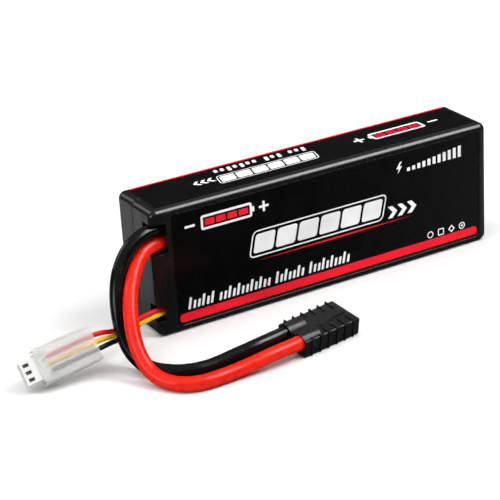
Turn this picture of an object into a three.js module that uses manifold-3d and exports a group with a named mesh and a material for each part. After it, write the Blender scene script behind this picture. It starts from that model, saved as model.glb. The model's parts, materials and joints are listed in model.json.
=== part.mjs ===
// A two-cell hard-case lipo battery pack, standing on one long narrow side, with its power leads,
// balance leads and plugs. Millimetres. X runs along the pack with the leads at -X, the labelled
// front face is at -Y, and Z is up from the centre of the side that the pack stands on.
import * as THREE from "three";
import { mergeVertices } from "three/addons/utils/BufferGeometryUtils.js";
import Module from "manifold-3d";

const wasm = await Module();
wasm.setup();

// Driving dimensions of the case.
const packLength = 138;
const packThickness = 25.6;
const packHeight = 46.5;
const edgeRound = 2.4;
const cornerCore = 0.4;
const wall = 1.5;
const seamY = 1.2;
const seamGap = 0.2;
const halfThickness = packThickness / 2;
const innerX = packLength / 2 - wall;
const innerY = halfThickness - wall;
const lowInner = wall;
const highInner = packHeight - wall;
const midHeight = packHeight / 2;

// Labels lie flush in a shallow recess.
const labelThickness = 0.25;
const labelBed = 0.03;
const labelMargin = 0.1;

// Cells and what packs them in.
const cellThickness = 9.8;
const cellWidth = 41.2;
const cellBackX = 64.5;
const cellShoulderX = -48.5;
const cellSealX = -52;
const fit = 0.05;
const frontCellY = -5.7;
const rearCellY = 4.7;

// Terminal board, across the lead end of the cells.
const boardFrontX = -56.6;
const boardThickness = 1.6;
const tabThickness = 0.3;
const tabWidth = 7;
const upperTabZ = 32.5;
const lowerTabZ = 15;

// Leads.
const powerLead = 5;
const fineLead = 1.7;

// Black power connector. Its stiff leads twist it, so it lies on one long edge, turned about Z by
// its yaw and about its own length by its roll.
const connector = { x: -25.91, y: -45.24, yaw: 10.92, roll: 9.15, length: 24.3, width: 13.9, height: 6.3 };
const leadPitch = 7.1;
const leadHeight = 4.4;

// Balance plug and clip: the clip's centre, its turn about Z, the slope up to its rear end and its
// lean about its own length. It rests on the lower corner of its mouth, and its leads hold its rear.
const clip = { x: -107.02, y: -20.62, z: 8.7, yaw: -1.82, slope: 10, lean: 55.28 };
const sleeve = { length: 20.5, mouthWidth: 12.75, rearWidth: 12.05, depth: 7 };
const contactPitch = 2.5;

// ---------------------------------------------------------------- shapes and solids

// A closed three.js geometry as a manifold-3d solid.
function solidFrom(geometry) {
  const bare = geometry.clone();
  bare.deleteAttribute("normal");
  bare.deleteAttribute("uv");
  const merged = mergeVertices(bare, 1e-4);
  const mesh = new wasm.Mesh({
    numProp: 3,
    vertProperties: merged.attributes.position.array,
    triVerts: new Uint32Array(merged.index.array),
  });
  return new wasm.Manifold(mesh);
}

// A manifold-3d solid as a three.js geometry.
function geometryFrom(solid) {
  const mesh = solid.getMesh();
  const geometry = new THREE.BufferGeometry();
  geometry.setAttribute("position", new THREE.BufferAttribute(new Float32Array(mesh.vertProperties), 3));
  geometry.setIndex(new THREE.BufferAttribute(new Uint32Array(mesh.triVerts), 1));
  geometry.computeVertexNormals();
  return geometry;
}

// Joins the first geometries and cuts the second ones out of them.
function carve(joined, cuts = []) {
  const body = joined.map(solidFrom).reduce((whole, piece) => whole.add(piece));
  return geometryFrom(cuts.map(solidFrom).reduce((whole, piece) => whole.subtract(piece), body));
}

function box([x0, x1], [y0, y1], [z0, z1]) {
  const geometry = new THREE.BoxGeometry(x1 - x0, y1 - y0, z1 - z0);
  return geometry.translate((x0 + x1) / 2, (y0 + y1) / 2, (z0 + z1) / 2);
}

function roundedOutline(width, height, radius, centreX = 0, centreY = 0) {
  const x = width / 2 - radius;
  const y = height / 2 - radius;
  const quarter = Math.PI / 2;
  const shape = new THREE.Shape();
  shape.absarc(centreX + x, centreY + y, radius, 0, quarter);
  shape.absarc(centreX - x, centreY + y, radius, quarter, 2 * quarter);
  shape.absarc(centreX - x, centreY - y, radius, 2 * quarter, 3 * quarter);
  shape.absarc(centreX + x, centreY - y, radius, 3 * quarter, 4 * quarter);
  shape.closePath();
  return shape;
}

// An outline drawn in X and Z, made solid between two values of Y.
function slab(outline, y0, y1, curveSegments = 2) {
  const settings = { depth: y1 - y0, bevelEnabled: false, curveSegments };
  const geometry = new THREE.ExtrudeGeometry(outline, settings);
  return geometry.rotateX(Math.PI / 2).translate(0, y1, 0);
}

// Turns what was extruded along Z to run along X, with its outline in Y and Z.
const alongX = new THREE.Matrix4().makeBasis(
  new THREE.Vector3(0, 1, 0),
  new THREE.Vector3(0, 0, 1),
  new THREE.Vector3(1, 0, 0),
);

// An outline drawn in Y and Z, made solid between two values of X.
function beam(outline, x0, x1, curveSegments = 2) {
  const settings = { depth: x1 - x0, bevelEnabled: false, curveSegments };
  const geometry = new THREE.ExtrudeGeometry(outline, settings);
  return geometry.applyMatrix4(alongX).translate(x0, 0, 0);
}

// A round bar along X, with its own radius at each end.
function bar([x0, x1], y, z, startRadius, endRadius = startRadius, sides = 24) {
  const geometry = new THREE.CylinderGeometry(endRadius, startRadius, x1 - x0, sides);
  return geometry.rotateZ(-Math.PI / 2).translate((x0 + x1) / 2, y, z);
}

// ---------------------------------------------------------------- materials

function finish(color, roughness, metalness = 0, opacity = 1) {
  return new THREE.MeshStandardMaterial({ color, roughness, metalness, opacity, transparent: opacity < 1 });
}

const casePlastic = finish(0x1b1b1c, 0.45);
const labelFilm = finish(0x060607, 0.3);
const cellFoil = finish(0xb9bcc0, 0.35, 0.8);
const tape = finish(0xd9a33a, 0.4);
const foam = finish(0x2c2c2e, 0.95);
const boardLaminate = finish(0x1f5a35, 0.5);
const fibreSheet = finish(0xc9c2a8, 0.8);
const nickel = finish(0xb5b4ae, 0.3, 1);
const copper = finish(0xb66f46, 0.35, 1);
const solder = finish(0xb9bbbd, 0.3, 1);
const redSilicone = finish(0xd93a2e, 0.42);
const blackSilicone = finish(0x0d0d0e, 0.42);
const connectorNylon = finish(0x1a1a1b, 0.5);
const goldPlate = finish(0xd8b04a, 0.25, 1);
const whiteNylon = finish(0xe9e8e2, 0.5);
const redInsulation = finish(0xd8342a, 0.4);
const yellowInsulation = finish(0xf2cf2a, 0.4);
const blackInsulation = finish(0x101011, 0.4);
const frostedPlastic = finish(0xd5d6d2, 0.5, 0, 0.55);

const pack = new THREE.Group();

function part(name, geometry, material, parent = pack) {
  const mesh = new THREE.Mesh(geometry, material);
  mesh.name = name;
  parent.add(mesh);
  return mesh;
}

// ---------------------------------------------------------------- case and labels

// The whole case as one rounded block.
function caseBlock() {
  const outline = roundedOutline(
    packLength - 2 * edgeRound,
    packHeight - 2 * edgeRound,
    cornerCore,
    0,
    midHeight,
  );
  const geometry = new THREE.ExtrudeGeometry(outline, {
    depth: packThickness - 2 * edgeRound,
    bevelThickness: edgeRound,
    bevelSize: edgeRound,
    bevelSegments: 6,
    curveSegments: 2,
  });
  return geometry.rotateX(Math.PI / 2).translate(0, halfThickness - edgeRound, 0);
}

// An outline of the case's inside, drawn in X and Z, smaller all round by an inset.
function innerOutline(inset, radius) {
  const width = 2 * (innerX - inset);
  const height = highInner - lowInner - 2 * inset;
  return roundedOutline(width, height, radius, 0, midHeight);
}

// A strip of the case's section in Y and Z: the top, the rounded back edge and the back face.
// Both depths are measured inwards from the outer surface.
function wrapOutline(depthInner, depthOuter, frontY, bottomZ) {
  const y = halfThickness - edgeRound;
  const z = packHeight - edgeRound;
  const shape = new THREE.Shape();
  shape.moveTo(frontY, packHeight - depthInner);
  shape.lineTo(y, packHeight - depthInner);
  shape.absarc(y, z, edgeRound - depthInner, Math.PI / 2, 0, true);
  shape.lineTo(halfThickness - depthInner, bottomZ);
  shape.lineTo(halfThickness - depthOuter, bottomZ);
  shape.absarc(y, z, edgeRound - depthOuter, 0, Math.PI / 2, false);
  shape.lineTo(frontY, packHeight - depthOuter);
  shape.closePath();
  return shape;
}

const frontLabel = { x0: -61.5, x1: 65.3, z0: 2.5, z1: 44, corner: 1.8 };
const wrapLabel = { x0: -65.4, x1: 66.4, frontY: -10.2, bottomZ: 2.5 };
const recessDepth = labelThickness + labelBed;

function frontLabelOutline(margin) {
  const { x0, x1, z0, z1, corner } = frontLabel;
  const width = x1 - x0 - 2 * margin;
  const height = z1 - z0 - 2 * margin;
  return roundedOutline(width, height, corner - margin, (x0 + x1) / 2, (z0 + z1) / 2);
}

const frontRecess = slab(frontLabelOutline(0), -halfThickness - 1, -halfThickness + recessDepth);
const wrapRecess = beam(
  wrapOutline(recessDepth, -1, wrapLabel.frontY, wrapLabel.bottomZ),
  wrapLabel.x0,
  wrapLabel.x1,
  3,
);

// Windows in the lead end of the front shell, open to the front and to the end.
const outside = 1;
const endX = -packLength / 2 - outside;
const frontY = -halfThickness - outside;
const powerWindow = box([endX, -63.4], [frontY, -6.4], [30.5, 41.5]);
const balanceWindow = box([endX, -65.9], [frontY, -7.2], [5.9, 11.7]);
const hollow = slab(innerOutline(0, 1.2), -innerY, innerY);

// One side of the seam, as a block to cut away.
function sideOfSeam(y0, y1) {
  return box([-packLength, packLength], [y0, y1], [-outside, packHeight + outside]);
}

part(
  "case_front_shell",
  carve(
    [caseBlock()],
    [
      sideOfSeam(seamY - seamGap / 2, packThickness),
      hollow,
      frontRecess,
      wrapRecess,
      powerWindow,
      balanceWindow,
    ],
  ),
  casePlastic,
);

// The back shell's locating lip reaches past the seam into the front shell.
const lipThickness = 0.7;
const lipGap = 0.15;
const lipDepth = 1.4;
const lipRoot = 2;
const backHalf = solidFrom(caseBlock())
  .subtract(solidFrom(sideOfSeam(-packThickness, seamY + seamGap / 2)))
  .subtract(solidFrom(hollow))
  .subtract(solidFrom(wrapRecess));
const lip = solidFrom(slab(innerOutline(lipGap, 1.1), seamY - lipDepth, seamY + lipRoot))
  .add(solidFrom(slab(innerOutline(-0.4, 1.4), seamY + seamGap / 2, seamY + lipRoot)))
  .subtract(solidFrom(slab(innerOutline(lipGap + lipThickness, 0.8), -innerY, innerY)));
part("case_back_shell", geometryFrom(backHalf.add(lip)), casePlastic);

part(
  "front_label",
  slab(frontLabelOutline(labelMargin), -halfThickness, -halfThickness + labelThickness),
  labelFilm,
);
part(
  "wrap_label",
  beam(
    wrapOutline(labelThickness, 0, wrapLabel.frontY + labelMargin, wrapLabel.bottomZ + labelMargin),
    wrapLabel.x0 + labelMargin,
    wrapLabel.x1 - labelMargin,
    3,
  ),
  labelFilm,
);

// ---------------------------------------------------------------- cells and packing

// A pouch cell: the filled body, and the flat seal that its tabs leave from.
function pouchCell(y) {
  const body = beam(roundedOutline(cellThickness, cellWidth, 2.2, y, midHeight), cellShoulderX, cellBackX);
  const sealHalf = 0.35;
  const sealWidth = cellWidth - 3.2;
  const seal = box(
    [cellSealX, cellShoulderX + 0.5],
    [y - sealHalf, y + sealHalf],
    [midHeight - sealWidth / 2, midHeight + sealWidth / 2],
  );
  return carve([body, seal]);
}

part("cell_front", pouchCell(frontCellY), cellFoil);
part("cell_rear", pouchCell(rearCellY), cellFoil);

const cellLow = midHeight - cellWidth / 2;
const cellHigh = midHeight + cellWidth / 2;
const stackFront = frontCellY - cellThickness / 2;
const stackBack = rearCellY + cellThickness / 2;

part(
  "cell_spacer_sheet",
  box(
    [cellShoulderX + 1, cellBackX - 1],
    [frontCellY + cellThickness / 2 + fit, rearCellY - cellThickness / 2 - fit],
    [cellLow + 1.5, cellHigh - 1.5],
  ),
  fibreSheet,
);

// The tape band goes once round both cells.
const tapeThickness = 0.2;
const tapeX = [-8, 12];
function tapeOutline(growth) {
  const width = stackBack - stackFront + 2 * growth;
  const height = cellWidth + 2 * growth;
  return roundedOutline(width, height, 2.2 + growth, (stackFront + stackBack) / 2, midHeight);
}
part(
  "cell_tape_band",
  carve(
    [beam(tapeOutline(fit + tapeThickness), tapeX[0], tapeX[1])],
    [beam(tapeOutline(fit), tapeX[0] - outside, tapeX[1] + outside)],
  ),
  tape,
);

part(
  "face_foam_pad",
  box([-46, 62], [stackBack + tapeThickness + 2 * fit, innerY - fit], [cellLow + 3, cellHigh - 3]),
  foam,
);
part(
  "end_foam_block",
  box([cellBackX + 0.3, innerX - 1.1], [stackFront + 1, stackBack - 1], [cellLow + 2, cellHigh - 2]),
  foam,
);

// ---------------------------------------------------------------- terminal board and tabs

const tabs = [
  { name: "cell_front_positive_tab", y: frontCellY, z: upperTabZ },
  { name: "cell_front_negative_tab", y: frontCellY, z: lowerTabZ },
  { name: "cell_rear_positive_tab", y: rearCellY, z: lowerTabZ },
  { name: "cell_rear_negative_tab", y: rearCellY, z: upperTabZ },
];
const tabFold = 3.6;
const tabFaceX = boardFrontX - fit;

// A tab runs from the cell's seal through its slot and folds flat on the outer face of the board.
for (const { name, y, z } of tabs) {
  const width = [z - tabWidth / 2, z + tabWidth / 2];
  const thickness = [y - tabThickness / 2, y + tabThickness / 2];
  const straight = box([tabFaceX - tabThickness, cellSealX - fit], thickness, width);
  const folded = box([tabFaceX - tabThickness, tabFaceX], [y - tabFold, y + tabThickness / 2], width);
  part(name, carve([straight, folded]), nickel);
}

const slotHalf = 0.4;
const slots = tabs.map(({ y, z }) =>
  box([-60, -50], [y - slotHalf, y + slotHalf], [z - tabWidth / 2 - 0.3, z + tabWidth / 2 + 0.3]),
);
const boardBackX = boardFrontX + boardThickness;
part(
  "terminal_board",
  carve([box([boardFrontX, boardBackX], [-10.8, 10.6], [3, 43.4])], slots),
  boardLaminate,
);
part(
  "board_insulator",
  carve([box([boardBackX + 0.1, boardBackX + 0.5], [-10.6, 10.4], [3.4, 43])], slots),
  fibreSheet,
);

// The series link lies over both folded tabs at the lower height.
const linkX = tabFaceX - tabThickness - fit;
part(
  "series_link",
  box(
    [linkX - tabThickness, linkX],
    [frontCellY - tabFold + 0.4, rearCellY],
    [lowerTabZ - 3, lowerTabZ + 3],
  ),
  copper,
);

// ---------------------------------------------------------------- leads

// A lead is a many-sided tube along its route.
function lead(route, diameter, sides, steps) {
  const points = route.map(([x, y, z]) => new THREE.Vector3(x, y, z));
  const extrudePath = new THREE.CatmullRomCurve3(points, false, "centripetal");
  const corners = [];
  for (let i = 0; i < sides; i += 1) {
    const angle = (2 * Math.PI * (i + 0.5)) / sides;
    corners.push(new THREE.Vector2(Math.cos(angle), Math.sin(angle)).multiplyScalar(diameter / 2));
  }
  return new THREE.ExtrudeGeometry(new THREE.Shape(corners), { steps, extrudePath });
}

// Routes run from the terminal board, out of the window and on to the plug.
const powerRedRoute = [
  [-60.2, -8, 33.4], [-62.4, -8.1, 33.4], [-64.8, -8.7, 33.4], [-67, -9.5, 33.4],
  [-69.2, -10.1, 33.3], [-72.2, -11.3, 32.3], [-75, -13.3, 30.8], [-77.8, -15.9, 28.9],
  [-80.6, -19.1, 26.4], [-83.1, -22.4, 23.6], [-85, -25.6, 20.4], [-86.3, -28.5, 17],
  [-87.1, -31.2, 13.5], [-87.4, -34, 10.2], [-87.2, -36.9, 7.3], [-86.5, -39.7, 5],
  [-85.2, -42.8, 3.4], [-83.4, -46, 2.7], [-81.3, -49.1, 2.6], [-78.3, -51.5, 2.6],
  [-74.4, -52.9, 2.6], [-70, -53.2, 2.6], [-65, -53.1, 2.7], [-60, -53.1, 3.1], [-55, -53.3, 3.8],
  [-50, -53.3, 4.5], [-45.5, -53, 4.8], [-40.8, -52.4, 4.88], [-37.2, -51.7, 4.88],
  [-34.25, -51.13, 4.88],
];
const powerBlackRoute = [
  [-60.2, -8, 38.7], [-62.4, -8.1, 38.7], [-64.8, -8.6, 38.75], [-67, -9.3, 38.7],
  [-69.2, -9.8, 38.6], [-72.4, -10.4, 37.9], [-75.6, -11.1, 36.4], [-78.6, -12, 34.2],
  [-81.3, -13.3, 31.3], [-83.5, -14.9, 28.3], [-85.2, -16.8, 24.8], [-86.4, -18.7, 21.1],
  [-87.1, -20.5, 17.4], [-87.4, -22.2, 13.8], [-87.3, -24, 10.4], [-86.9, -26.1, 7.4],
  [-86, -28.7, 4.9], [-84.8, -31.7, 3.3], [-83.2, -35.2, 2.6], [-80.8, -38.8, 2.6],
  [-77.3, -42, 2.6], [-72.6, -44, 2.6], [-67.4, -44.9, 2.7], [-62.5, -45.3, 3.3],
  [-57.4, -45.8, 4.3], [-52.5, -46.3, 5.2], [-47.5, -46.2, 5.8], [-42.2, -45.5, 6],
  [-38.5, -44.8, 6.01], [-35.57, -44.25, 6.01],
];
const balanceRedRoute = [
  [-58, -7.9, 10.4], [-60.6, -8.5, 10.3], [-63.4, -9.2, 10.1], [-66.4, -10.1, 9.9],
  [-69.4, -10.9, 9.9], [-72.38, -11.78, 10], [-75.39, -12.86, 10.13], [-78.6, -14.03, 10.27],
  [-81.62, -15.21, 10.3], [-84.54, -16.49, 10.43], [-87.27, -17.78, 10.85],
  [-89.91, -18.88, 11.63], [-93.1, -19.4, 12.45], [-96.5, -19.56, 12.6], [-100.4, -19.38, 11.8],
  [-105.3, -19.22, 10.95], [-110.2, -19.07, 10.1], [-114.9, -18.94, 9.35],
];
const balanceYellowRoute = [
  [-58, -8, 7.6], [-60.6, -8.7, 7.8], [-63.4, -9.5, 8], [-66.4, -10.3, 8.1], [-69.4, -11.1, 8.2],
  [-72.38, -11.98, 8.2], [-75.58, -13.06, 8.34], [-78.6, -14.33, 8.47], [-81.62, -15.51, 8.5],
  [-84.54, -16.79, 8.63], [-87.27, -18.08, 9.1], [-89.91, -19.48, 9.93], [-93, -20.6, 10.7],
  [-96.2, -20.96, 10.62], [-100.1, -20.84, 9.92], [-105.05, -20.68, 9.05], [-110, -20.53, 8.18],
  [-114.6, -20.38, 7.36],
];
const balanceBlackRoute = [
  [-58, -5.3, 8.6], [-60.6, -6.2, 8.7], [-63.4, -7.2, 8.8], [-66.4, -8.3, 8.9], [-69.4, -9.1, 8.6],
  [-72.38, -9.88, 7.7], [-75.39, -11.06, 6.93], [-78.6, -12.73, 6.57], [-81.62, -14.31, 6.6],
  [-84.54, -16.09, 6.83], [-87.27, -17.98, 7.25], [-89.73, -19.98, 8.18], [-92.6, -21.7, 8.85],
  [-95.9, -22.38, 8.65], [-99.8, -22.3, 8], [-104.8, -22.14, 7.15], [-109.7, -21.99, 6.3],
  [-114.3, -21.82, 5.38],
];

const powerSides = 12;
const powerSteps = 26;
const fineSides = 8;
const fineSteps = 20;
part("power_lead_red", lead(powerRedRoute, powerLead, powerSides, powerSteps), redSilicone);
part("power_lead_black", lead(powerBlackRoute, powerLead, powerSides, powerSteps), blackSilicone);
part("balance_lead_red", lead(balanceRedRoute, fineLead, fineSides, fineSteps), redInsulation);
part("balance_lead_yellow", lead(balanceYellowRoute, fineLead, fineSides, fineSteps), yellowInsulation);
part("balance_lead_black", lead(balanceBlackRoute, fineLead, fineSides, fineSteps), blackInsulation);

// Bared strands and solder at the inner end of each power lead. The red joint sits on the folded
// tab, and the black one straight on the board.
const coreRadius = 1.6;
const jointTipX = -58.3;
const powerJoints = [
  { colour: "red", start: powerRedRoute[0], baseX: tabFaceX - tabThickness - fit },
  { colour: "black", start: powerBlackRoute[0], baseX: tabFaceX },
];
for (const { colour, start, baseX } of powerJoints) {
  const [x, y, z] = start;
  const strands = bar([x + 0.3, jointTipX - fit], y, z, coreRadius, coreRadius, 12);
  part(`power_lead_${colour}_core`, strands, copper);
  part(`power_solder_${colour}`, bar([jointTipX, baseX], y, z, coreRadius + 0.3, 2.3, 12), solder);
}

const fineJoints = { red: balanceRedRoute[0], yellow: balanceYellowRoute[0], black: balanceBlackRoute[0] };
for (const [colour, [x, y, z]] of Object.entries(fineJoints)) {
  part(`balance_solder_${colour}`, bar([x + 0.4, tabFaceX], y, z, 0.5, 0.95, 12), solder);
}

// ---------------------------------------------------------------- power connector

// Drawn in its own frame: X towards the mating face, Y across, Z up from its flat underside.
const connectorGroup = new THREE.Group();
const connectorRoll = THREE.MathUtils.degToRad(connector.roll);
const raisedBy = (connector.width / 2) * Math.sin(connectorRoll);
connectorGroup.position.set(connector.x, connector.y, raisedBy);
connectorGroup.rotation.set(connectorRoll, 0, THREE.MathUtils.degToRad(connector.yaw), "ZYX");
pack.add(connectorGroup);

const halfLength = connector.length / 2;
const halfWidth = connector.width / 2;
const clearOfGround = 0.02;
const barrelLength = 7.5;
const barrelRadius = 3.1;
const boreRadius = 2.75;
const cup = { x0: -9, x1: -5, radius: 2, boreRadius: 2.25 };
const bladeZ = [2.8, 3.6];
const socket = { x: 0.6, halfWidth: 2.7, z: [1.3, 5.1] };

// Grip ribs run up both sides and a little way over the top, further towards the mating face.
const ribPitch = 3.75;
const ribHalf = 0.23;
const ribProud = 0.4;
const ribRise = 0.45;
const ribReach = [1, 1, 2.8, 3.6, 4.2, 4.2];

function gripRibs() {
  const ribs = [];
  ribReach.forEach((length, i) => {
    const x = (i - (ribReach.length - 1) / 2) * ribPitch;
    const along = [x - ribHalf, x + ribHalf];
    for (const side of [-1, 1]) {
      const outer = side * (halfWidth + ribProud);
      const shallow = side * (halfWidth - 0.6);
      const reach = side * (halfWidth - length);
      const upright = [Math.min(shallow, outer), Math.max(shallow, outer)];
      const across = [Math.min(reach, outer), Math.max(reach, outer)];
      ribs.push(box(along, upright, [0.1, connector.height + ribRise]));
      ribs.push(box(along, across, [connector.height - 0.5, connector.height + ribRise]));
    }
  });
  return ribs;
}

// A low bent rail on the top keys the two halves of the connector.
function keyRail() {
  const rail = new THREE.Shape();
  rail.moveTo(-1.4, -2.7);
  rail.lineTo(5, -1.5);
  rail.lineTo(10.4, -1.3);
  rail.lineTo(10.4, -0.2);
  rail.lineTo(4.8, -0.4);
  rail.lineTo(-1.7, -1.7);
  rail.closePath();
  const depth = 1.1;
  const railRise = 0.6;
  const geometry = new THREE.ExtrudeGeometry(rail, { depth, bevelEnabled: false });
  return geometry.translate(0, 0, connector.height + railRise - depth);
}

function connectorHousing() {
  const height = connector.height - clearOfGround;
  const middle = clearOfGround + height / 2;
  const block = beam(roundedOutline(connector.width, height, 0.5, 0, middle), -halfLength, halfLength);
  const joined = [block, keyRail(), ...gripRibs()];
  const cuts = [];
  for (const side of [-1, 1]) {
    const y = (side * leadPitch) / 2;
    const slot = [y - socket.halfWidth, y + socket.halfWidth];
    joined.push(bar([-halfLength, -halfLength + barrelLength], y, leadHeight, barrelRadius));
    cuts.push(bar([-halfLength - outside, cup.x0 - 0.1], y, leadHeight, boreRadius));
    cuts.push(bar([cup.x0 - 0.5, cup.x1 + 0.1], y, leadHeight, cup.boreRadius));
    cuts.push(box([cup.x1 - 0.6, socket.x + 0.2], slot, [bladeZ[0] - 0.2, bladeZ[1] + 0.2]));
    cuts.push(box([socket.x, halfLength + outside], slot, socket.z));
  }
  return carve(joined, cuts);
}

part("main_connector_housing", connectorHousing(), connectorNylon, connectorGroup);

// Each terminal is a flat blade in the socket with a solder cup behind it.
function terminal(y) {
  const solderCup = bar([cup.x0, cup.x1], y, leadHeight, cup.radius, cup.radius, 16);
  const blade = box([cup.x1 - 0.4, 11], [y - 2.5, y + 2.5], bladeZ);
  return carve([solderCup, blade]);
}

part("main_terminal_positive", terminal(-leadPitch / 2), goldPlate, connectorGroup);
part("main_terminal_negative", terminal(leadPitch / 2), goldPlate, connectorGroup);

// ---------------------------------------------------------------- balance plug and clip

// Drawn about the clip's centre: X away from the mating end, Y across, Z out of the broad face.
const plugGroup = new THREE.Group();
plugGroup.position.set(clip.x, clip.y, clip.z);
plugGroup.rotation.set(
  THREE.MathUtils.degToRad(clip.lean),
  THREE.MathUtils.degToRad(-clip.slope),
  THREE.MathUtils.degToRad(clip.yaw),
  "ZYX",
);
pack.add(plugGroup);

const nose = { x0: -16, x1: -10.2, width: 8.2, depth: 4.9 };
const shoulder = { x0: -10.5, x1: -7, width: 9.8, depth: 5.5 };
const channelHalf = 0.98;
const contactHalf = 0.75;
const colours = ["black", "yellow", "red"];

function plugHousing() {
  const joined = [
    beam(roundedOutline(nose.width, nose.depth, 0.3), nose.x0, nose.x1),
    beam(roundedOutline(shoulder.width, shoulder.depth, 0.4), shoulder.x0, shoulder.x1),
  ];
  const cuts = [];
  for (let i = -1; i <= 1; i += 1) {
    const y = i * contactPitch;
    const channel = [y - channelHalf, y + channelHalf];
    cuts.push(box([nose.x0 + 0.8, shoulder.x1 + outside], channel, [-channelHalf, channelHalf]));
    cuts.push(box([nose.x0 - outside, nose.x0 + 1.2], [y - 0.5, y + 0.5], [-0.5, 0.5]));
    cuts.push(box([nose.x0 + 0.85, nose.x0 + 2.95], [y - 0.6, y + 0.6], [0.5, nose.depth]));
  }
  return carve(joined, cuts);
}

part("balance_plug_housing", plugHousing(), whiteNylon, plugGroup);

// Each contact is a square box spring with a crimp behind it that holds the lead.
colours.forEach((colour, i) => {
  const y = (i - 1) * contactPitch;
  const spring = box([-14.9, -10.4], [y - contactHalf, y + contactHalf], [-contactHalf, contactHalf]);
  const crimp = bar([-10.6, -8.1], y, 0, 0.65, 0.65, 12);
  part(`balance_contact_${colour}`, carve([spring, crimp]), nickel, plugGroup);
});

// The clip is a thin sleeve, open over its whole mouth, with a smaller hole behind for the leads.
const clipRound = 0.4;
const clipWall = 0.7;
const clipRearWall = 1.4;

// Draws a shape's width in, evenly along its length, from the mouth to the rear end.
function taper(geometry) {
  const position = geometry.attributes.position;
  const narrowing = 1 - sleeve.rearWidth / sleeve.mouthWidth;
  for (let i = 0; i < position.count; i += 1) {
    const fromMouth = position.getX(i) / sleeve.length + 0.5;
    position.setY(i, position.getY(i) * (1 - narrowing * fromMouth));
  }
  return geometry;
}

function clipSleeve() {
  const outline = roundedOutline(sleeve.mouthWidth - 2 * clipRound, sleeve.depth - 2 * clipRound, 0.5);
  const shell = new THREE.ExtrudeGeometry(outline, {
    depth: sleeve.length - 2 * clipRound,
    bevelThickness: clipRound,
    bevelSize: clipRound,
    bevelSegments: 2,
    curveSegments: 2,
  });
  shell.applyMatrix4(alongX).translate(clipRound - sleeve.length / 2, 0, 0);
  const insideY = sleeve.mouthWidth / 2 - clipWall;
  const insideZ = sleeve.depth / 2 - clipWall;
  const innerEnd = sleeve.length / 2 - clipRearWall;
  const mouth = box([-sleeve.length, innerEnd], [-insideY, insideY], [-insideZ, insideZ]);
  const leadHole = box([0, sleeve.length], [-4.6, 4.6], [-2.2, 2.2]);
  return taper(carve([shell], [mouth, leadHole]));
}

part("balance_clip", clipSleeve(), frostedPlastic, plugGroup);

export default pack;
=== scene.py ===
import json
import math

import bmesh
import bpy
from mathutils import Matrix, Vector


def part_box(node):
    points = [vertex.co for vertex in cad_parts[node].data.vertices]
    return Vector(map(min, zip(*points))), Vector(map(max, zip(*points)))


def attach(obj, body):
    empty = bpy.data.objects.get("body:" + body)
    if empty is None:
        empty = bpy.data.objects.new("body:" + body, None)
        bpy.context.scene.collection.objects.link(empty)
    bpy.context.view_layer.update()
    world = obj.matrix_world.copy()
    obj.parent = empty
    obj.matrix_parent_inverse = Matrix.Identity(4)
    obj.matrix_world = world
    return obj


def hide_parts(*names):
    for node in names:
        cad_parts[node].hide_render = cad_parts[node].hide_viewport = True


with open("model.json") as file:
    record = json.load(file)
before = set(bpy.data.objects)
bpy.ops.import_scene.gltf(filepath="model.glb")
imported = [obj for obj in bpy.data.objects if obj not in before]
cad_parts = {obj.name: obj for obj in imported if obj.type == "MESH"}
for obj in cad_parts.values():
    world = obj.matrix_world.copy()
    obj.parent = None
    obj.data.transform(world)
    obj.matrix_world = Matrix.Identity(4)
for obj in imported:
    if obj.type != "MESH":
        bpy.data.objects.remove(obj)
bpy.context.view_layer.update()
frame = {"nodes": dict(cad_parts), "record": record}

mm = 0.001
nodes = frame["nodes"]
record = frame["record"]
scene = bpy.context.scene


def corners(*names):
    """The lowest and highest corner of several CAD nodes together, in millimetres."""
    boxes = [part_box(name) for name in names]
    low = Vector(min(box[0][i] for box in boxes) for i in range(3)) / mm
    high = Vector(max(box[1][i] for box in boxes) for i in range(3)) / mm
    return low, high


case_low, case_high = corners("case_front_shell", "case_back_shell")
case_centre = (case_low + case_high) / 2
case_edge_round = 2.4

# ---------------------------------------------------------------- camera

view_azimuth = math.radians(-28.57)
view_elevation = math.radians(24.07)
view_roll = math.radians(3.61)
view_distance = 644.9
view_right = 21.42
view_up = 12.23
lens_length = 129.55
sensor_width = 36


def make_camera():
    """The camera looks at the pack from its left front, a little above it."""
    back = Vector((
        math.sin(view_azimuth) * math.cos(view_elevation),
        -math.cos(view_azimuth) * math.cos(view_elevation),
        math.sin(view_elevation),
    ))
    right = Vector((0, 0, 1)).cross(back).normalized()
    up = back.cross(right)
    rolled_right = right * math.cos(view_roll) - up * math.sin(view_roll)
    rolled_up = right * math.sin(view_roll) + up * math.cos(view_roll)
    place = case_centre + back * view_distance - rolled_right * view_right - rolled_up * view_up
    data = bpy.data.cameras.new("camera")
    data.lens = lens_length
    data.sensor_width = sensor_width
    data.clip_start = 0.05
    data.clip_end = 20
    camera = bpy.data.objects.new("camera", data)
    turn = Matrix((rolled_right, rolled_up, back)).transposed()
    camera.matrix_world = Matrix.Translation(place * mm) @ turn.to_4x4()
    scene.collection.objects.link(camera)
    scene.camera = camera


make_camera()

# ---------------------------------------------------------------- leads

power_lead = 5.0
fine_lead = 1.7

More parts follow.
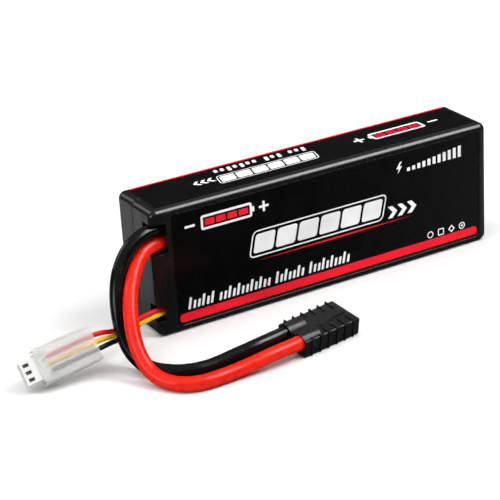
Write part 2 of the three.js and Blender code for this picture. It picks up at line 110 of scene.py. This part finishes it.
# Each route runs from the terminal board, out of its window and on to its plug, in metres.
power_red_route = [
    (-0.0602, -0.008, 0.0334), (-0.0624, -0.0081, 0.0334), (-0.0648, -0.0087, 0.0334),
    (-0.067, -0.0095, 0.0334), (-0.0692, -0.0101, 0.0333), (-0.0722, -0.0113, 0.0323),
    (-0.075, -0.0133, 0.0308), (-0.0778, -0.0159, 0.0289), (-0.0806, -0.0191, 0.0264),
    (-0.0831, -0.0224, 0.0236), (-0.085, -0.0256, 0.0204), (-0.0863, -0.0285, 0.017),
    (-0.0871, -0.0312, 0.0135), (-0.0874, -0.034, 0.0102), (-0.0872, -0.0369, 0.0073),
    (-0.0865, -0.0397, 0.005), (-0.0852, -0.0428, 0.0034), (-0.0834, -0.046, 0.0027),
    (-0.0813, -0.0491, 0.0026), (-0.0783, -0.0515, 0.0026), (-0.0744, -0.0529, 0.0026),
    (-0.07, -0.0532, 0.0026), (-0.065, -0.0531, 0.0027), (-0.06, -0.0531, 0.0031),
    (-0.055, -0.0533, 0.0038), (-0.05, -0.0533, 0.0045), (-0.0455, -0.053, 0.0048),
    (-0.0408, -0.0524, 0.00488), (-0.0372, -0.0517, 0.00488), (-0.03425, -0.05113, 0.00488),
]
power_black_route = [
    (-0.0602, -0.008, 0.0387), (-0.0624, -0.0081, 0.0387), (-0.0648, -0.0086, 0.03875),
    (-0.067, -0.0093, 0.0387), (-0.0692, -0.0098, 0.0386), (-0.0724, -0.0104, 0.0379),
    (-0.0756, -0.0111, 0.0364), (-0.0786, -0.012, 0.0342), (-0.0813, -0.0133, 0.0313),
    (-0.0835, -0.0149, 0.0283), (-0.0852, -0.0168, 0.0248), (-0.0864, -0.0187, 0.0211),
    (-0.0871, -0.0205, 0.0174), (-0.0874, -0.0222, 0.0138), (-0.0873, -0.024, 0.0104),
    (-0.0869, -0.0261, 0.0074), (-0.086, -0.0287, 0.0049), (-0.0848, -0.0317, 0.0033),
    (-0.0832, -0.0352, 0.0026), (-0.0808, -0.0388, 0.0026), (-0.0773, -0.042, 0.0026),
    (-0.0726, -0.044, 0.0026), (-0.0674, -0.0449, 0.0027), (-0.0625, -0.0453, 0.0033),
    (-0.0574, -0.0458, 0.0043), (-0.0525, -0.0463, 0.0052), (-0.0475, -0.0462, 0.0058),
    (-0.0422, -0.0455, 0.006), (-0.0385, -0.0448, 0.00601), (-0.03557, -0.04425, 0.00601),
]
balance_red_route = [
    (-0.058, -0.0079, 0.0104), (-0.0606, -0.0085, 0.0103), (-0.0634, -0.0092, 0.0101),
    (-0.0664, -0.0101, 0.0099), (-0.0694, -0.0109, 0.0099), (-0.07238, -0.01178, 0.01),
    (-0.07539, -0.01286, 0.01013), (-0.0786, -0.01403, 0.01027), (-0.08162, -0.01521, 0.0103),
    (-0.08454, -0.01649, 0.01043), (-0.08727, -0.01778, 0.01085), (-0.08991, -0.01888, 0.01163),
    (-0.0931, -0.0194, 0.01245), (-0.0965, -0.01956, 0.0126), (-0.1004, -0.01938, 0.0118),
    (-0.1053, -0.01922, 0.01095), (-0.1102, -0.01907, 0.0101), (-0.1149, -0.01894, 0.00935),
]
balance_yellow_route = [
    (-0.058, -0.008, 0.0076), (-0.0606, -0.0087, 0.0078), (-0.0634, -0.0095, 0.008),
    (-0.0664, -0.0103, 0.0081), (-0.0694, -0.0111, 0.0082), (-0.07238, -0.01198, 0.0082),
    (-0.07558, -0.01306, 0.00834), (-0.0786, -0.01433, 0.00847), (-0.08162, -0.01551, 0.0085),
    (-0.08454, -0.01679, 0.00863), (-0.08727, -0.01808, 0.0091), (-0.08991, -0.01948, 0.00993),
    (-0.093, -0.0206, 0.0107), (-0.0962, -0.02096, 0.01062), (-0.1001, -0.02084, 0.00992),
    (-0.10505, -0.02068, 0.00905), (-0.11, -0.02053, 0.00818), (-0.1146, -0.02038, 0.00736),
]
balance_black_route = [
    (-0.058, -0.0053, 0.0086), (-0.0606, -0.0062, 0.0087), (-0.0634, -0.0072, 0.0088),
    (-0.0664, -0.0083, 0.0089), (-0.0694, -0.0091, 0.0086), (-0.07238, -0.00988, 0.0077),
    (-0.07539, -0.01106, 0.00693), (-0.0786, -0.01273, 0.00657), (-0.08162, -0.01431, 0.0066),
    (-0.08454, -0.01609, 0.00683), (-0.08727, -0.01798, 0.00725), (-0.08973, -0.01998, 0.00818),
    (-0.0926, -0.0217, 0.00885), (-0.0959, -0.02238, 0.00865), (-0.0998, -0.0223, 0.008),
    (-0.1048, -0.02214, 0.00715), (-0.1097, -0.02199, 0.0063), (-0.1143, -0.02182, 0.00538),
]


def smooth_path(route, pieces=6):
    """Points along the centripetal Catmull-Rom curve through a route."""
    points = [Vector(point) for point in route]
    points = [2 * points[0] - points[1], *points, 2 * points[-1] - points[-2]]
    path = []
    for before, start, end, after in zip(points, points[1:], points[2:], points[3:]):
        knots = [0.0]
        for a, b in ((before, start), (start, end), (end, after)):
            knots.append(knots[-1] + math.sqrt((b - a).length))
        k0, k1, k2, k3 = knots
        for i in range(pieces):
            t = k1 + (k2 - k1) * i / pieces
            a1 = before.lerp(start, (t - k0) / (k1 - k0))
            a2 = start.lerp(end, (t - k1) / (k2 - k1))
            a3 = end.lerp(after, (t - k2) / (k3 - k2))
            b1 = a1.lerp(a2, (t - k0) / (k2 - k0))
            b2 = a2.lerp(a3, (t - k1) / (k3 - k1))
            path.append(b1.lerp(b2, (t - k1) / (k2 - k1)))
    return [*path, points[-2]]


def tube(path, radius, sides=20):
    """The points and faces of a round tube along a path, closed at both ends."""
    points = []
    side = None
    for i, place in enumerate(path):
        ahead = (path[min(i + 1, len(path) - 1)] - path[max(i - 1, 0)]).normalized()
        side = ahead.orthogonal() if side is None else side - ahead * side.dot(ahead)
        side.normalize()
        across = ahead.cross(side)
        for k in range(sides):
            angle = 2 * math.pi * k / sides
            points.append(place + radius * (math.cos(angle) * side + math.sin(angle) * across))
    faces = [tuple(reversed(range(sides)))]
    for start in range(0, sides * (len(path) - 1), sides):
        for k in range(sides):
            beside = (k + 1) % sides
            faces.append((start + k, start + beside, start + sides + beside, start + sides + k))
    faces.append(tuple(range(len(points) - sides, len(points))))
    return points, faces


def make_piece(name, points, faces, stands_for=(), body="pack"):
    """A mesh object in the frame, riding on a body, with its faces turned outwards."""
    mesh = bpy.data.meshes.new(name)
    mesh.from_pydata([tuple(point) for point in points], [], faces)
    shaped = bmesh.new()
    shaped.from_mesh(mesh)
    bmesh.ops.recalc_face_normals(shaped, faces=shaped.faces)
    shaped.to_mesh(mesh)
    shaped.free()
    for face in mesh.polygons:
        face.use_smooth = True
    piece = bpy.data.objects.new(name, mesh)
    scene.collection.objects.link(piece)
    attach(piece, body)
    if stands_for:
        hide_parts(*stands_for)
    return piece


def make_lead(name, route, diameter):
    """One lead, as a round tube from its window to its plug, in place of its CAD node. Its flat ends
    stay crisp.
    """
    path = smooth_path(route)
    points, faces = tube(path, diameter / 2 * mm)
    lead = make_piece(name + "_wire", points, faces, [name])
    split = lead.modifiers.new("ends", "EDGE_SPLIT")
    split.split_angle = math.radians(60)
    return lead


power_pieces = [nodes[name] for name in (
    "main_connector_housing",
    "main_terminal_positive",
    "main_terminal_negative",
)]
plug_pieces = [nodes[name] for name in (
    "balance_plug_housing",
    "balance_clip",
    "balance_contact_red",
    "balance_contact_yellow",
    "balance_contact_black",
)]

leads = {
    slot: make_lead(name, route, diameter)
    for name, route, diameter, slot, pieces in (
        ("power_lead_red", power_red_route, power_lead, "red_silicone", power_pieces),
        ("power_lead_black", power_black_route, power_lead, "black_silicone", power_pieces),
        ("balance_lead_red", balance_red_route, fine_lead, "red_insulation", plug_pieces),
        ("balance_lead_yellow", balance_yellow_route, fine_lead, "yellow_insulation", plug_pieces),
        ("balance_lead_black", balance_black_route, fine_lead, "black_insulation", plug_pieces),
    )
}

# ---------------------------------------------------------------- materials


class Surface:
    """A material whose colour, roughness and relief vary over the object, built node by node."""

    def __init__(self, name, color, roughness, metallic=0.0):
        self.material = bpy.data.materials.new(name)
        self.material.use_nodes = True
        self.tree = self.material.node_tree
        self.shader = self.tree.nodes["Principled BSDF"]
        self.shader.inputs["Metallic"].default_value = metallic
        self.place = self.node("ShaderNodeTexCoord").outputs["Object"]
        self.color = color
        self.roughness = roughness
        self.tinted = None
        self.normal = None

    def node(self, kind, **values):
        made = self.tree.nodes.new(kind)
        for name, value in values.items():
            setattr(made, name, value)
        return made

    def link(self, source, target):
        self.tree.links.new(source, target)

    def stretched(self, scale):
        """The object's own coordinates, drawn out along each axis."""
        mapping = self.node("ShaderNodeMapping")
        self.link(self.place, mapping.inputs["Vector"])
        mapping.inputs["Scale"].default_value = scale
        return mapping.outputs["Vector"]

    def noise(self, size, detail=4.0, scale=(1, 1, 1)):
        """Noise whose features are about so many millimetres across."""
        noise = self.node("ShaderNodeTexNoise")
        self.link(self.stretched(scale), noise.inputs["Vector"])
        noise.inputs["Scale"].default_value = 1 / (size * mm)
        noise.inputs["Detail"].default_value = detail
        return noise.outputs["Fac"]

    def spots(self, size):
        """The distance from the middle of small cells about so many millimetres across."""
        cells = self.node("ShaderNodeTexVoronoi")
        self.link(self.place, cells.inputs["Vector"])
        cells.inputs["Scale"].default_value = 1 / (size * mm)
        return cells.outputs["Distance"]

    def ranged(self, value, low, high, start=0.3, end=0.7):
        """A value from start to end, turned into one from low to high."""
        ranged = self.node("ShaderNodeMapRange")
        self.link(value, ranged.inputs["Value"])
        ranged.inputs["From Min"].default_value = start
        ranged.inputs["From Max"].default_value = end
        ranged.inputs["To Min"].default_value = low
        ranged.inputs["To Max"].default_value = high
        return ranged.outputs["Result"]

    def mixed(self, amount, first, second):
        """A colour between two, by an amount from 0 to 1."""
        mix = self.node("ShaderNodeMix", data_type="RGBA")
        self.link(amount, mix.inputs["Factor"])
        for value, socket in ((first, mix.inputs["A"]), (second, mix.inputs["B"])):
            if isinstance(value, bpy.types.NodeSocket):
                self.link(value, socket)
            else:
                socket.default_value = (*value, 1)
        return mix.outputs["Result"]

    def vary_color(self, size, change):
        """Makes the colour a little darker and lighter in soft patches."""
        darker = tuple(channel * (1 - change) for channel in self.color)
        lighter = tuple(min(1, channel * (1 + change)) for channel in self.color)
        amount = self.ranged(self.noise(size), 0, 1)
        self.tinted = self.mixed(amount, darker, lighter)
        self.link(self.tinted, self.shader.inputs["Base Color"])

    def rub_edges(self, color, amount):
        """Shows a worn colour where the surface turns sharply outwards."""
        sharpness = self.node("ShaderNodeNewGeometry").outputs["Pointiness"]
        worn = self.ranged(sharpness, 0, amount, 0.52, 0.6)
        self.tinted = self.mixed(worn, self.tinted, color)
        self.link(self.tinted, self.shader.inputs["Base Color"])

    def vary_roughness(self, size, change, scale=(1, 1, 1)):
        """Makes the gloss uneven, in patches that scale draws out along an axis."""
        pattern = self.noise(size, scale=scale)
        amount = self.ranged(pattern, self.roughness - change, self.roughness + change)
        self.link(amount, self.shader.inputs["Roughness"])

    def relief(self, height, depth):
        """Adds a relief so many millimetres deep to what is there already."""
        bump = self.node("ShaderNodeBump")
        self.link(height, bump.inputs["Height"])
        bump.inputs["Distance"].default_value = depth * mm
        if self.normal is not None:
            self.link(self.normal, bump.inputs["Normal"])
        self.normal = bump.outputs["Normal"]
        self.link(self.normal, self.shader.inputs["Normal"])

    def set(self, values):
        """Sets some of the shader's own sockets, by name."""
        for name, value in values.items():
            self.shader.inputs[name].default_value = value


def moulded(name, color, roughness, grain=0.35, depth=0.004, patch=0.1, streaks=(1, 1, 1)):
    """Moulded plastic with a fine spark-eroded grain."""
    surface = Surface(name, color, roughness)
    surface.vary_color(14, patch)
    surface.rub_edges(tuple(min(1, channel * 2.2 + 0.01) for channel in color), 0.35)
    surface.vary_roughness(3, 0.05, streaks)
    surface.relief(surface.noise(grain, 2), depth)
    surface.set({"IOR": 1.58})
    return surface


def extruded(name, color, roughness, wave=0.02, shine=0.3):
    """Soft insulation, with faint drawing marks and a little dust."""
    surface = Surface(name, color, roughness)
    surface.set({"Specular IOR Level": shine})
    surface.vary_color(5, 0.1)
    surface.vary_roughness(2.5, 0.07)
    surface.relief(surface.noise(3, 2), wave)
    surface.relief(surface.noise(0.3, 2), 0.001)
    return surface


def brushed(name, color, roughness, scale):
    """Metal strip with fine rolling lines along one axis."""
    surface = Surface(name, color, roughness, metallic=1.0)
    surface.vary_color(3, 0.12)
    surface.vary_roughness(0.5, 0.1, scale)
    surface.relief(surface.noise(0.3, 3, scale), 0.01)
    return surface


def film(name, color, roughness, shine=0.2):
    """Glossy printed film, not quite flat over what it is stuck to."""
    surface = Surface(name, color, roughness)
    surface.set({"Specular IOR Level": shine})
    surface.vary_color(20, 0.15)
    surface.vary_roughness(9, 0.04)
    surface.relief(surface.noise(16, 1), 0.03)
    surface.relief(surface.noise(0.5, 2), 0.002)
    return surface


def matt(name, color, roughness, grain, depth):
    """Paper, foam and other dull sheet."""
    surface = Surface(name, color, roughness)
    surface.vary_color(grain * 4, 0.18)
    surface.vary_roughness(grain * 6, 0.05)
    surface.relief(surface.spots(grain), depth)
    return surface


def soldered(name, color, roughness):
    """Bright solder with soft flow marks."""
    surface = Surface(name, color, roughness, metallic=1.0)
    surface.vary_color(0.8, 0.1)
    surface.vary_roughness(0.6, 0.1)
    surface.relief(surface.noise(0.7, 3), 0.08)
    return surface


def stranded(name, color, roughness):
    """Bare copper strands, twisted round their core."""
    surface = Surface(name, color, roughness, metallic=1.0)
    surface.vary_color(0.6, 0.2)
    wave = surface.node("ShaderNodeTexWave", bands_direction="DIAGONAL")
    surface.link(surface.place, wave.inputs["Vector"])
    wave.inputs["Scale"].default_value = 1 / (0.5 * mm)
    surface.vary_roughness(0.4, 0.08)
    surface.relief(wave.outputs["Fac"], 0.12)
    return surface


def frosted(name, color, roughness):
    """Translucent moulded plastic, that shows what is inside it as soft shapes."""
    surface = Surface(name, color, roughness)
    surface.vary_color(8, 0.03)
    surface.vary_roughness(3, 0.05)
    surface.relief(surface.noise(0.6, 2), 0.008)
    surface.set({"Transmission Weight": 0.84, "IOR": 1.3, "Specular IOR Level": 0.4})
    return surface


surfaces = {
    "white_ink": film("white_ink", (0.88, 0.88, 0.88), 0.45),
    "red_ink": film("red_ink", (0.88, 0.0, 0.018), 0.45),
    "case_plastic": moulded("case_plastic", (0.005, 0.005, 0.0055), 0.24, streaks=(1, 1, 0.12)),
    "label_film": film("label_film", (0.0008, 0.0008, 0.0009), 0.27, shine=0.45),
    "cell_foil": brushed("cell_foil", (0.62, 0.63, 0.65), 0.3, (0.2, 1, 1)),
    "fibre_sheet": matt("fibre_sheet", (0.58, 0.54, 0.4), 0.8, 0.4, 0.05),
    "amber_tape": film("amber_tape", (0.62, 0.36, 0.06), 0.35),
    "foam": matt("foam", (0.05, 0.05, 0.052), 0.92, 0.5, 0.3),
    "nickel": brushed("nickel", (0.42, 0.41, 0.38), 0.3, (1, 1, 0.2)),
    "copper": stranded("copper", (0.72, 0.38, 0.2), 0.3),
    "board_laminate": film("board_laminate", (0.03, 0.16, 0.07), 0.35),
    "red_silicone": extruded("red_silicone", (0.72, 0.012, 0.003), 0.3),
    "black_silicone": extruded("black_silicone", (0.002, 0.002, 0.0023), 0.22, shine=0.42),
    "solder": soldered("solder", (0.62, 0.63, 0.64), 0.25),
    "connector_nylon": moulded("connector_nylon", (0.0035, 0.0035, 0.004), 0.34, 0.3, 0.004),
    "gold_plate": brushed("gold_plate", (0.8, 0.58, 0.22), 0.22, (0.2, 1, 1)),
    "red_insulation": extruded("red_insulation", (0.7, 0.008, 0.008), 0.35, 0.01),
    "yellow_insulation": extruded("yellow_insulation", (0.9, 0.56, 0.008), 0.35, 0.02),
    "black_insulation": extruded("black_insulation", (0.004, 0.004, 0.0045), 0.3, 0.02),
    "white_nylon": moulded("white_nylon", (0.7, 0.7, 0.68), 0.42, 0.5, 0.004, 0.03),
    "frosted_plastic": frosted("frosted_plastic", (0.93, 0.93, 0.92), 0.48),
}


def coat(obj, slot):
    """Gives an object one of the surfaces, as its only material."""
    obj.data.materials.clear()
    obj.data.materials.append(surfaces[slot].material)


for slot, lead in leads.items():
    coat(lead, slot)


def round_edges(obj, width, sharpest=35):
    """Rounds edges that turn by more than so many degrees, or keeps them crisp where the width is 0,
    and shades curves smoothly."""
    if width:
        edges = obj.modifiers.new("edges", "BEVEL")
        edges.width = width * mm
        edges.segments = 2
        edges.limit_method = "ANGLE"
        edges.angle_limit = math.radians(sharpest)
        edges.use_clamp_overlap = False
    else:
        crisp = obj.modifiers.new("crisp", "EDGE_SPLIT")
        crisp.split_angle = math.radians(sharpest)
        crisp.use_edge_sharp = False
    weights = obj.modifiers.new("weights", "WEIGHTED_NORMAL")
    weights.keep_sharp = False


def soften(obj, width):
    """Rounds the sharp edges of a faceted CAD node and shades its curves smoothly."""
    same_point = 0.0005
    weld = obj.modifiers.new("weld", "WELD")
    weld.merge_threshold = same_point * mm
    round_edges(obj, width)
    custom = obj.data.attributes.get("custom_normal")
    if custom:
        obj.data.attributes.remove(custom)
    for face in obj.data.polygons:
        face.use_smooth = True


# Pieces that aren't listed keep crisp edges.
edge_widths = {
    "case_front_shell": 0.12,
    "case_back_shell": 0.12,
    "main_connector_housing": 0.05,
    "balance_plug_housing": 0.12,
    "balance_clip": 0.1,
}
for row in record["subparts"]:
    node = nodes[row["node"]]
    coat(node, row["material_slot"])
    if not node.hide_render:
        soften(node, edge_widths.get(row["node"], 0))

# ---------------------------------------------------------------- label films and their print

film_thickness = 0.25
film_edge = 0.06
film_slope = 0.6 * film_thickness
print_height = 0.02


def prism(loops, place, low, high):
    """The points and faces of a flat shape made solid between two heights. One loop is filled, and two
    loops of the same number of points make a ring."""
    count = len(loops[0])
    points = [place(u, v, height) for height in (low, high) for loop in loops for u, v in loop]
    level = count * len(loops)
    faces = []
    for loop in range(len(loops)):
        for k in range(count):
            a = loop * count + k
            b = loop * count + (k + 1) % count
            faces.append((a, b, b + level, a + level))
    for start in (0, level):
        if len(loops) == 1:
            faces.append(tuple(range(start, start + count)))
            continue
        for k in range(count):
            beside = (k + 1) % count
            faces.append((start + k, start + beside, start + count + beside, start + count + k))
    return points, faces


def bar(u0, u1, v0, v1, lean=0.0, corner=0.0, inset=0.0, steps=4):
    """The outline of a bar with round corners, leaning over by so much for each unit of height."""
    radius = max(corner - inset, 0.02)
    outline = []
    for quarter, (u, v) in enumerate(((u1, v1), (u0, v1), (u0, v0), (u1, v0))):
        centre_u = u + (inset + radius) * (1 if u == u0 else -1)
        centre_v = v + (inset + radius) * (1 if v == v0 else -1)
        for i in range(steps + 1):
            angle = math.pi / 2 * (quarter + i / steps)
            at_v = centre_v + radius * math.sin(angle)
            at_u = centre_u + radius * math.cos(angle) + lean * (at_v - (v0 + v1) / 2)
            outline.append((at_u, at_v))
    return outline


def frame_bar(u0, u1, v0, v1, line, lean=0.0, corner=0.0):
    """A bar drawn as an outline of one line's thickness."""
    return [bar(u0, u1, v0, v1, lean, corner), bar(u0, u1, v0, v1, lean, corner, line)]


def disc(u, v, radius, steps=24):
    """The outline of a disc, or of a diamond where it has 4 steps."""
    angles = [2 * math.pi * i / steps for i in range(steps)]
    return [(u + radius * math.cos(angle), v + radius * math.sin(angle)) for angle in angles]


# Plain signs, drawn from their own lower left corner. Each gives its white and its red shapes.
def cell_sign(height):
    """A battery outline with its charge as bars, between a minus and a plus sign."""
    line = height * 0.16
    length = height * 3.7
    start = height * 1.15
    middle = height / 2
    arm = height * 0.36
    white = [
        [bar(0, 2 * arm, middle - line / 2, middle + line / 2)],
        frame_bar(start, start + length, 0, height, line, corner=line),
        [bar(start + length + 0.1, start + length + line, middle - arm / 2, middle + arm / 2)],
    ]
    plus = start + length + height * 0.5
    white.append([bar(plus, plus + 2 * arm, middle - line / 2, middle + line / 2)])
    white.append([bar(plus + arm - line / 2, plus + arm + line / 2, middle + line / 2, middle + arm)])
    white.append([bar(plus + arm - line / 2, plus + arm + line / 2, middle - arm, middle - line / 2)])
    cells = 4
    gap = line * 0.8
    step = (length - 2 * line - gap) / cells
    red = []
    for i in range(cells):
        u = start + line + gap + i * step
        red.append([bar(u, u + step - gap, line + gap, height - line - gap)])
    return white, red


def bolt(height):
    """A lightning flash."""
    zigzag = ((0.42, 1), (0.02, 0.42), (0.3, 0.42), (0.16, 0), (0.62, 0.6), (0.33, 0.6), (0.6, 1))
    return [(x * height, y * height) for x, y in zigzag]


def gauge_sign(height, length):
    """A lightning flash and a row of ticks that grow."""
    ticks = 11
    start = height * 1.1
    step = (length - start) / ticks
    white = [[bolt(height)]]
    for i in range(ticks):
        u = start + i * step
        tall = height * (0.3 + 0.7 * i / (ticks - 1))
        white.append([bar(u, u + step * 0.58, 0, tall)])
    return white, []


def charge_blocks(length, height, blocks=6, lean=0.22):
    """A row of leaning blocks inside one outline."""
    line = height * 0.05
    gap = height * 0.1
    white = [frame_bar(0, length, 0, height, line, lean, height * 0.2)]
    inner = line + gap
    step = (length - 2 * inner + gap) / blocks
    for i in range(blocks):
        u = inner + i * step
        white.append([bar(u, u + step - gap, inner, height - inner, lean, height * 0.1)])
    return white, []


def chevrons(length, height, count=3):
    """Arrow heads in a row."""
    step = length / (count + 0.35)
    thick = step * 0.48
    white = []
    for i in range(count):
        u = i * step
        tip = u + height * 0.45
        white.append([[
            (u, 0),
            (u + thick, 0),
            (tip + thick, height / 2),
            (u + thick, height),
            (u, height),
            (tip, height / 2),
        ]])
    return white, []


def stroke_line(words, height, stroke, lean=0.2):
    """A line of plain leaning strokes, some of them taller, set in groups."""
    white = []
    u = 0
    count = 0
    for strokes in words:
        for _ in range(strokes):
            tall = height if count % 5 in (0, 3) else height * 0.68
            white.append([bar(u, u + stroke, 0, tall, lean, stroke * 0.3)])
            u += stroke * 1.85
            count += 1
        u += stroke * 1.6
    return white, []


def small_signs(height):
    """A ring, a square, a diamond and a dotted ring."""
    half = height / 2
    line = height * 0.14
    step = height * 1.75
    third = 2 * step + half
    fourth = 3 * step + half
    white = [
        [disc(half, half, half), disc(half, half, half - line)],
        frame_bar(step, step + height, 0, height, line, corner=line),
        [disc(third, half, half * 1.1, 4), disc(third, half, half * 1.1 - 1.5 * line, 4)],
        [disc(fourth, half, half), disc(fourth, half, half - line)],
        [disc(fourth, half, line)],
    ]
    return white, []


class Print:
    """Ink on a label, in two colours, that stands a little above its film."""

    def __init__(self, name, place):
        self.name = name
        self.place = place
        self.shapes = {"white": [], "red": []}

    def add(self, sign, u, v):
        for colour, shapes in zip(("white", "red"), sign):
            for loops in shapes:
                self.shapes[colour].append([[(u + a, v + b) for a, b in loop] for loop in loops])

    def make(self):
        for colour, shapes in self.shapes.items():
            points = []
            faces = []
            for loops in shapes:
                more_points, more_faces = prism(loops, self.place, 0, print_height)
                faces += [tuple(k + len(points) for k in face) for face in more_faces]
                points += more_points
            piece = make_piece(f"{self.name}_{colour}", points, faces)
            for face in piece.data.polygons:
                face.use_smooth = False
            coat(piece, f"{colour}_ink")


front_low, front_high = corners("front_label")
wrap_low, wrap_high = corners("wrap_label")


def on_front(u, v, height):
    """A place on the front label, from its lower left corner, in metres."""
    return Vector((front_low.x + u, case_low.y - height, front_low.z + v)) * mm


def on_top(u, v, height):
    """A place on the top film, read from behind the pack, from its corner at +X."""
    return Vector((wrap_high.x - u, wrap_high.y - v, case_high.z + height)) * mm


def make_front_label():
    width = front_high.x - front_low.x
    height = front_high.z - front_low.z
    points, faces = prism([bar(0, width, 0, height, corner=1.7, steps=6)], on_front, -film_thickness, 0)
    label = make_piece("front_label_film", points, faces, ["front_label"])
    coat(label, "label_film")
    round_edges(label, film_edge)
    # Each sign has its own size, and a place measured from the label's lower left corner.
    ink = Print("front_label_print", on_front)
    ink.add(cell_sign(5.4), 4.8, 32.8)
    ink.add(gauge_sign(4.3, 29.3), 90.4, 33.5)
    ink.add(charge_blocks(55.5, 9.9), 29.7, 17.3)
    ink.add(chevrons(14, 4.6), 86.4, 17.2)
    ink.add(stroke_line((6, 12, 7, 10), 4.3, 0.95), 4.2, 5.2)
    ink.add(small_signs(2.7), 103.4, 4.7)
    line_middle = width / 2 + 2
    line_height = 15.9
    line_half = 33
    line_swell = 0.35
    line = [
        (line_middle - line_half, line_height),
        (line_middle, line_height - line_swell),
        (line_middle + line_half, line_height),
        (line_middle, line_height + line_swell),
    ]
    stripe = bar(0.5, width - 1, 1, 4.2, corner=1.2)
    ink.add(([], [[line], [stripe]]), 0, 0)
    ink.make()


def wrap_section(inside, outside, front_y, low_z, slope=0.0, last=90.0, steps=14):
    """The outline in Y and Z of a strip over the top, the rounded back edge and the back face. Both
    depths are measured inwards from the outer surface, slope bevels the front edge, and last is the
    angle round the back edge at which the curve stops."""
    centre_y = case_high.y - case_edge_round
    centre_z = case_high.z - case_edge_round
    outline = []
    for depth, forwards in ((outside, True), (inside, False)):
        line = [(front_y, case_high.z - depth)]
        if forwards and slope:
            line = [(front_y, case_high.z - slope), (front_y + slope, case_high.z)]
        for i in range(steps + 1):
            angle = math.radians(last * i / steps)
            reach = case_edge_round - depth
            line.append((centre_y + reach * math.sin(angle), centre_z + reach * math.cos(angle)))
        if low_z is not None:
            line.append((case_high.y - depth, low_z))
        outline += line if forwards else line[::-1]
    return outline


def sweep(outline, x0, x1):
    """An outline in Y and Z made solid between two values of X."""
    return prism([outline], lambda y, z, x: Vector((x, y, z)) * mm, x0, x1)


def make_wrap_label():
    section = wrap_section(film_thickness, 0, wrap_low.y, wrap_low.z, slope=film_slope)
    points, faces = sweep(section, wrap_low.x, wrap_high.x)
    label = make_piece("wrap_label_film", points, faces, ["wrap_label"])
    coat(label, "label_film")
    round_edges(label, film_edge, 60)
    stripe_reach = 2.8
    stripe_end = 0.3
    stripe = wrap_section(0, -print_height, case_high.y - stripe_reach, None, last=28)
    points, faces = sweep(stripe, wrap_low.x + stripe_end, wrap_high.x - stripe_end)
    piece = make_piece("wrap_label_stripe", points, faces)
    coat(piece, "red_ink")
    round_edges(piece, 0)
    # The top's signs are measured in the same way, from the corner at +X and at the back.
    ink = Print("top_label_print", on_top)
    ink.add(cell_sign(6), 9.5, 8.9)
    ink.add(charge_blocks(40, 7), 62.8, 10.3)
    ink.add(chevrons(9, 3.4), 103.4, 10.3)
    ink.add(stroke_line((3, 3, 7), 3.4, 1.4), 63.3, 4.8)
    ink.make()


make_front_label()
make_wrap_label()

# ---------------------------------------------------------------- floor and light


def make_floor():
    """A plain pale floor that glossy surfaces don't show."""
    size = 3.0
    mesh = bpy.data.meshes.new("floor")
    mesh.from_pydata(
        [(-size, -size, 0), (size, -size, 0), (size, size, 0), (-size, size, 0)],
        [],
        [(0, 1, 2, 3)],
    )
    floor = bpy.data.objects.new("floor", mesh)
    scene.collection.objects.link(floor)
    surface = Surface("floor", (0.86, 0.86, 0.86), 0.6)
    surface.vary_color(60, 0.01)
    mesh.materials.append(surface.material)
    floor.visible_glossy = False


def make_light(name, place, width, height, power, mirrored=True):
    """A soft rectangular light, aimed at the middle of the case, with its width along X. Places and
    sizes are in metres and power in watts, and mirrored says whether glossy surfaces show it."""
    data = bpy.data.lights.new(name, "AREA")
    data.shape = "RECTANGLE"
    data.size = width
    data.size_y = height
    data.energy = power
    light = bpy.data.objects.new(name, data)
    back = (Vector(place) - case_centre * mm).normalized()
    side = Vector((1, 0, 0)).cross(back).cross(back).normalized() * -1
    turn = Matrix((side, back.cross(side), back)).transposed()
    light.matrix_world = Matrix.Translation(place) @ turn.to_4x4()
    light.visible_camera = False
    light.visible_glossy = mirrored
    scene.collection.objects.link(light)


def make_surroundings():
    """A bright sky overhead that falls to darkness low down, for the dark plastic to reflect."""
    world = bpy.data.worlds.new("world")
    world.use_nodes = True
    tree = world.node_tree
    background = tree.nodes["Background"]
    direction = tree.nodes.new("ShaderNodeTexCoord")
    parts = tree.nodes.new("ShaderNodeSeparateXYZ")
    rising = tree.nodes.new("ShaderNodeMapRange")
    tree.links.new(direction.outputs["Generated"], parts.inputs["Vector"])
    tree.links.new(parts.outputs["Z"], rising.inputs["Value"])
    rising.inputs["From Min"].default_value = 0.42
    rising.inputs["From Max"].default_value = 0.9
    rising.inputs["To Min"].default_value = 0.04
    rising.inputs["To Max"].default_value = 0.3
    tree.links.new(rising.outputs["Result"], background.inputs["Strength"])
    background.inputs["Color"].default_value = (1, 1, 1, 1)
    scene.world = world


make_floor()
make_surroundings()
make_light("overhead", (0.5, -0.44, 0.88), 0.5, 0.7, 10)
make_light("low_back", (-0.45, 0.85, -0.22), 0.6, 0.4, 0.35)
make_light("low_right", (1.1, -0.8, -0.6), 0.6, 0.6, 0.5)
make_light("left", (-1.2, -0.2, 0.5), 0.6, 0.5, 3)
make_light("rear", (-0.7, 1.1, 0.8), 0.6, 0.6, 2)
make_light("fill", (-0.6, 0.1, 1.6), 2.4, 2.4, 35, mirrored=False)
scene.view_settings.view_transform = "Standard"
